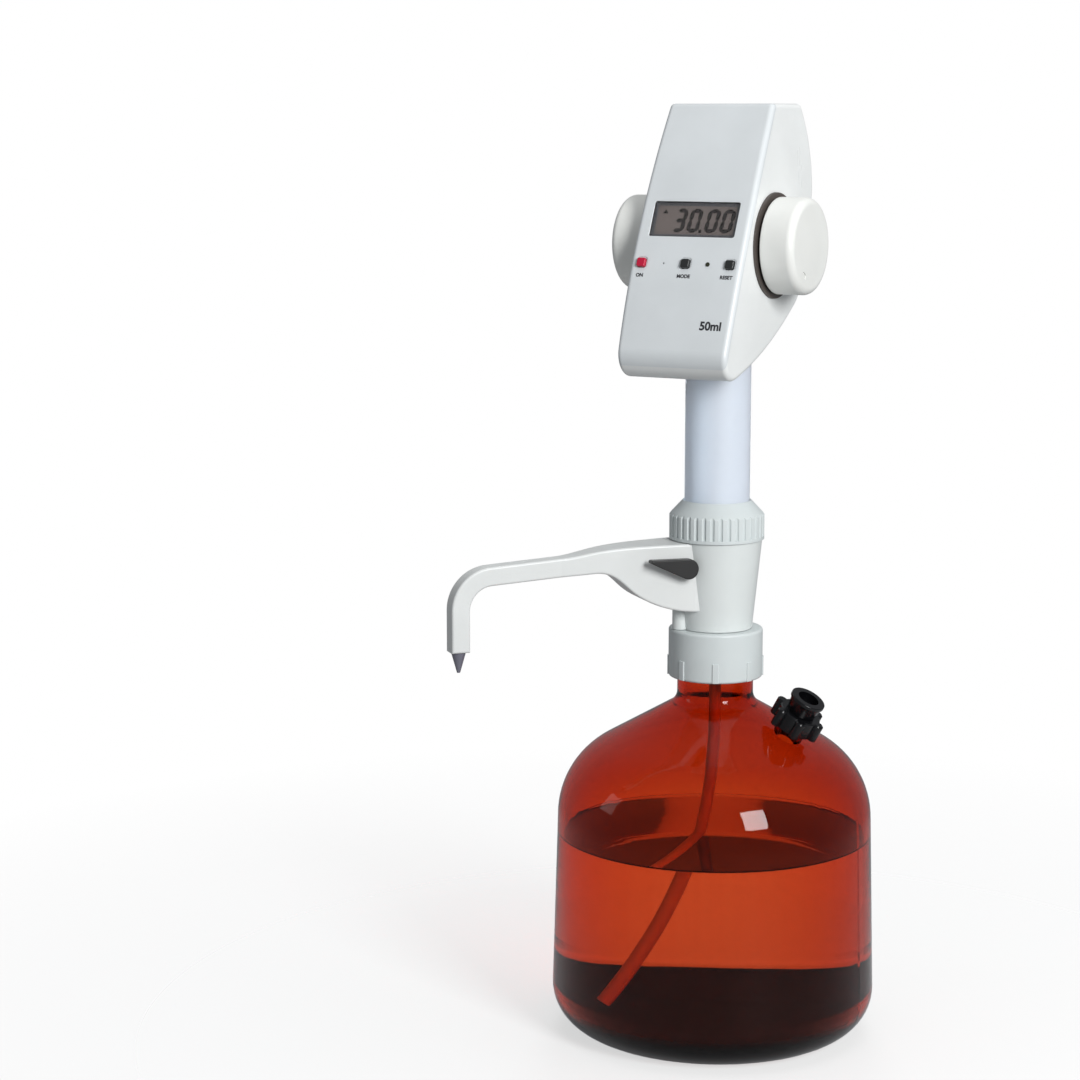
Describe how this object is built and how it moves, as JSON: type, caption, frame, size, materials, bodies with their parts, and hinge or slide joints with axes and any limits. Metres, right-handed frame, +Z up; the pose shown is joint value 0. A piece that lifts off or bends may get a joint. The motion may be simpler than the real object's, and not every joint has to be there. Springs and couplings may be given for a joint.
{
  "type": "digital burette",
  "caption": "Digital bottle-top burette: amber reservoir with side port, valve block with spout and stopcock, glass dosing column and geared drive head with display, keys and hand knobs.",
  "frame": {"origin": "centre of the reservoir's standing ring, on the bench", "axes": "+Z up along the column, head and display towards -Y, hand knobs along X"},
  "size_m": [0.177, 0.1869, 0.462],
  "materials": {
    "amber_glass": "clear amber glass",
    "clear_glass": "clear borosilicate glass",
    "sleeve_plastic": "clear fluoropolymer film over glass",
    "lens_plastic": "clear acrylic",
    "soft_seal": "soft fluoroelastomer",
    "collar_plastic": "satin",
    "valve_plastic": "satin",
    "arm_plastic": "satin",
    "tube_plastic": "smooth fluoropolymer",
    "jet_plastic": "translucent grey",
    "lever_plastic": "satin",
    "clear_seat": "ground glass",
    "ruby_ball": "polished",
    "chassis_plastic": "moulded",
    "panel_plastic": "satin",
    "housing_plastic": "satin",
    "display_dark": "matte",
    "board_green": "lacquered",
    "dark_plastic": "matte",
    "led_plastic": "diffused",
    "cell_metal": "printed can",
    "bush_plastic": "moulded",
    "ring_plastic": "satin",
    "gear_plastic": "moulded acetal",
    "knob_plastic": "satin",
    "steel": "turned",
    "red_button": "satin",
    "black_button": "satin",
    "black_plastic": "glossy"
  },
  "bodies": {
    "bottle": {"bottle": "amber_glass", "port_seal": "soft_seal", "neck_gasket": "soft_seal"},
    "collar": {"screw_collar": "collar_plastic"},
    "valve_unit": {"valve_body": "valve_plastic", "inlet_seat": "clear_seat", "outlet_seat": "clear_seat", "spout_arm": "arm_plastic", "discharge_tube": "tube_plastic", "jet_tip": "jet_plastic", "dip_tube": "tube_plastic"},
    "stopcock": {"valve_plug": "tube_plastic", "valve_lever": "lever_plastic", "plug_retainer": "lever_plastic"},
    "inlet_valve": {"inlet_ball": "ruby_ball"},
    "outlet_valve": {"outlet_ball": "ruby_ball"},
    "column_ring": {"lock_ring": "collar_plastic"},
    "head": {"barrel_seal": "soft_seal", "glass_barrel": "clear_glass", "barrel_sleeve": "sleeve_plastic", "drive_chassis": "chassis_plastic", "chassis_screws": "steel", "front_panel": "panel_plastic", "rear_housing": "housing_plastic", "housing_screws": "steel", "lcd_window": "lens_plastic", "lcd_module": "display_dark", "circuit_board": "board_green", "board_screws": "steel", "tact_switches": "dark_plastic", "status_led": "led_plastic", "encoder_sensor": "dark_plastic", "battery_tray": "housing_plastic", "battery_cells": "cell_metal", "shaft_bushes": "bush_plastic", "knob_rings": "ring_plastic"},
    "plunger": {"piston": "tube_plastic", "piston_seal": "tube_plastic", "piston_rod": "chassis_plastic"},
    "knobs": {"knob_shaft": "steel", "drive_gear": "gear_plastic", "encoder_disc": "dark_plastic", "left_knob": "knob_plastic", "right_knob": "knob_plastic", "grub_screws": "steel"},
    "idler": {"pinion": "gear_plastic", "pinion_axle": "steel"},
    "on_key": {"on_button": "red_button"},
    "mode_key": {"mode_button": "black_button"},
    "reset_key": {"reset_button": "black_button"},
    "cover": {"battery_cover": "housing_plastic"},
    "side_nut": {"port_nut": "black_plastic"},
    "side_stopper": {"port_stopper": "black_plastic"}
  },
  "joints": [
    {"name": "collar_turn", "type": "hinge", "parent": "bottle", "child": "collar", "pos_m": [0, 0, 0.19], "axis": [0, 0, 1], "continuous": true},
    {"name": "burette_swivel", "type": "hinge", "parent": "bottle", "child": "valve_unit", "pos_m": [0, 0, 0.2], "axis": [0, 0, 1], "continuous": true},
    {"name": "lock_ring_turn", "type": "hinge", "parent": "valve_unit", "child": "column_ring", "pos_m": [0, 0, 0.255], "axis": [0, 0, 1], "continuous": true},
    {"name": "head_swivel", "type": "hinge", "parent": "valve_unit", "child": "head", "pos_m": [0, 0, 0.262], "axis": [0, 0, 1], "continuous": true},
    {"name": "stopcock_turn", "type": "hinge", "parent": "valve_unit", "child": "stopcock", "pos_m": [-0.01459, -0.0162, 0.238], "axis": [0.7431, -0.6691, 0], "range_deg": [0, 90]},
    {"name": "inlet_ball_lift", "type": "slide", "parent": "valve_unit", "child": "inlet_valve", "axis": [0, 0, 1], "range_m": [0, 0.0014]},
    {"name": "outlet_ball_lift", "type": "slide", "parent": "valve_unit", "child": "outlet_valve", "axis": [-0.6691, -0.7431, 0], "range_m": [0, 0.0014]},
    {"name": "knob_turn", "type": "hinge", "parent": "head", "child": "knobs", "pos_m": [0, 0, 0.3945], "axis": [-1, 0, 0], "range_deg": [0, 303.7]},
    {"name": "piston_travel", "type": "slide", "parent": "head", "child": "plunger", "axis": [0, 0, 1], "range_m": [0, 0.0848]},
    {"name": "pinion_turn", "type": "hinge", "parent": "head", "child": "idler", "pos_m": [0, 0, 0.3715], "axis": [-1, 0, 0], "range_deg": [-695, 0]},
    {"name": "on_press", "type": "slide", "parent": "head", "child": "on_key", "axis": [0, 0.9162, -0.4008], "range_m": [0, 0.0008], "stiffness_N_per_m": 400},
    {"name": "mode_press", "type": "slide", "parent": "head", "child": "mode_key", "axis": [0, 0.9162, -0.4008], "range_m": [0, 0.0008], "stiffness_N_per_m": 400},
    {"name": "reset_press", "type": "slide", "parent": "head", "child": "reset_key", "axis": [0, 0.9162, -0.4008], "range_m": [0, 0.0008], "stiffness_N_per_m": 400},
    {"name": "cover_pull", "type": "slide", "parent": "head", "child": "cover", "axis": [0, 0.9612, -0.2758], "range_m": [0, 0.012]},
    {"name": "port_nut_turn", "type": "hinge", "parent": "bottle", "child": "side_nut", "pos_m": [0.04177, -0.00439, 0.15548], "axis": [0.4973, -0.0523, 0.866], "continuous": true},
    {"name": "stopper_pull", "type": "slide", "parent": "bottle", "child": "side_stopper", "axis": [0.4973, -0.0523, 0.866], "range_m": [0, 0.02]}
  ],
  "couplings": [
    {"joint": "knob_turn", "follows": "piston_travel", "rad_per_m": 62.5},
    {"joint": "pinion_turn", "follows": "piston_travel", "rad_per_m": -142.86}
  ]
}
